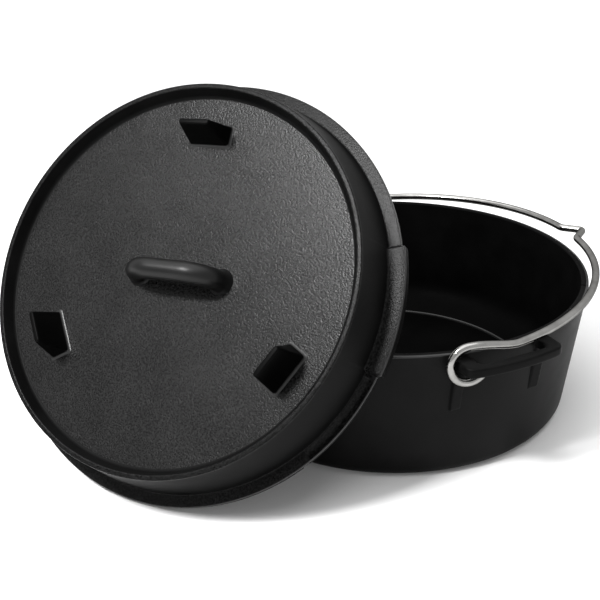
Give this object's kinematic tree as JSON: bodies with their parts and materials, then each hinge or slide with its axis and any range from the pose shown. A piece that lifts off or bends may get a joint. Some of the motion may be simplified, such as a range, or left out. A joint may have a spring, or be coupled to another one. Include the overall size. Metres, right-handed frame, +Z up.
{
  "type": "camp dutch oven",
  "caption": "Flat-bottomed black cast-iron camp oven with a deep footed lid leaning on it and a hooked wire bail.",
  "frame": {"origin": "centre of the pot's flat bottom, on the surface it stands on", "axes": "+Z up along the pot's axis, X through both ears, the bail lying towards +Y and the lid leaning on the -Y side"},
  "size_m": [0.3, 0.4066, 0.2249],
  "materials": {
    "iron": "seasoned sand casting, satin",
    "wire": "bright drawn stainless wire"
  },
  "bodies": {
    "pot": {"pot": "iron", "front_ear": "iron", "back_ear": "iron"},
    "bail": {"bail": "wire"},
    "lid": {"lid": "iron", "lid_handle": "iron", "lid_foot_1": "iron", "lid_foot_2": "iron", "lid_foot_3": "iron"}
  },
  "joints": [
    {"name": "bail_swing", "type": "hinge", "parent": "pot", "child": "bail", "pos_m": [0, 0, 0.084], "axis": [0.9814, -0.192, 0], "range_deg": [0, 100]},
    {"name": "lid_lift", "type": "slide", "parent": "pot", "child": "lid", "axis": [0.4814, -0.6412, 0.5976], "range_m": [0, 0.2]}
  ]
}
